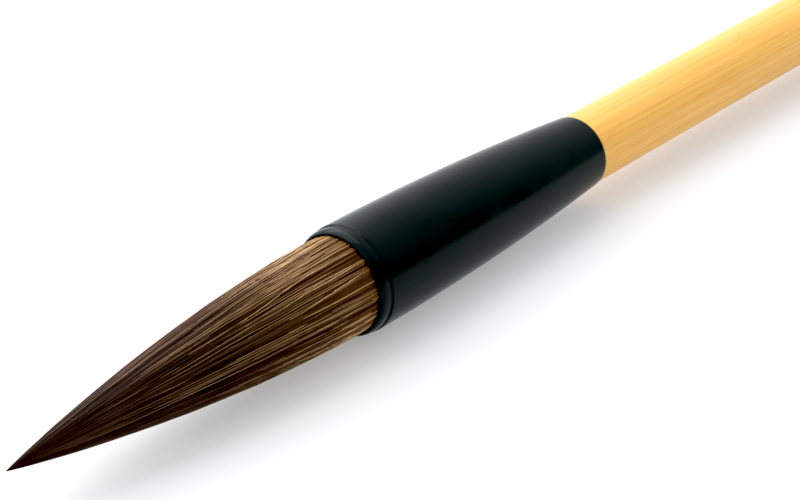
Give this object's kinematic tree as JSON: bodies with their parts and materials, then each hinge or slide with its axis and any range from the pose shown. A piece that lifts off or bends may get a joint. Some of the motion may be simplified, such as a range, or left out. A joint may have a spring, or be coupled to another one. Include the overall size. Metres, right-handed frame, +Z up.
{
  "type": "calligraphy brush",
  "caption": "Calligraphy brush with a dressed hair tuft coming to a point, a flared black moulded ferrule, a bamboo handle and an end cap with a cord hanging loop.",
  "frame": {"origin": "middle of the brush's length without its hanging loop, on the surface that the ferrule's thickest part touches", "axes": "+X along the brush's axis from the point of the tuft to the end cap, +Z up, away from the surface it lies on"},
  "size_m": [0.2626, 0.013, 0.013],
  "materials": {
    "bamboo": "scraped and polished culm, satin",
    "black_resin": "moulded, satin gloss",
    "wrap_hair": "combed animal hair, tan at the root and dark at the point",
    "core_hair": "combed animal hair",
    "hemp_thread": "twisted hemp",
    "seared_hair": "hair ends fused by searing",
    "adhesive": "set adhesive, amber",
    "cord": "twisted and waxed cord, dark navy"
  },
  "bodies": {
    "handle": {"bamboo_handle": "bamboo", "ferrule": "black_resin", "end_cap": "black_resin", "loop_knot": "cord", "tuft_wrap_root": "wrap_hair", "tuft_core_root": "core_hair", "binding_thread": "hemp_thread", "root_seal": "seared_hair", "root_adhesive": "adhesive"},
    "tuft_belly": {"tuft_wrap_belly": "wrap_hair", "tuft_core_belly": "core_hair"},
    "tuft_throat": {"tuft_wrap_throat": "wrap_hair", "tuft_core_throat": "core_hair"},
    "tuft_point": {"tuft_wrap_point": "wrap_hair", "tuft_core_point": "core_hair"},
    "loop": {"hanging_loop": "cord"}
  },
  "joints": [
    {"name": "tuft_bend", "type": "hinge", "parent": "handle", "child": "tuft_belly", "pos_m": [-0.089, 0, 0.0065], "axis": [0, 0, 1], "range_deg": [-20, 20], "stiffness_Nm_per_rad": 0.02},
    {"name": "throat_bend", "type": "hinge", "parent": "tuft_belly", "child": "tuft_throat", "pos_m": [-0.1005, 0, 0.0065], "axis": [0, 0, 1], "range_deg": [-26, 26]},
    {"name": "point_bend", "type": "hinge", "parent": "tuft_throat", "child": "tuft_point", "pos_m": [-0.112, 0, 0.0065], "axis": [0, 0, 1], "range_deg": [-31, 31]},
    {"name": "loop_swing", "type": "hinge", "parent": "handle", "child": "loop", "pos_m": [0.125, 0, 0.0065], "axis": [0, 0, 1], "range_deg": [-60, 60], "stiffness_Nm_per_rad": 0.001}
  ],
  "couplings": [
    {"joint": "throat_bend", "follows": "tuft_bend", "ratio": 1.25},
    {"joint": "point_bend", "follows": "tuft_bend", "ratio": 1.5}
  ]
}
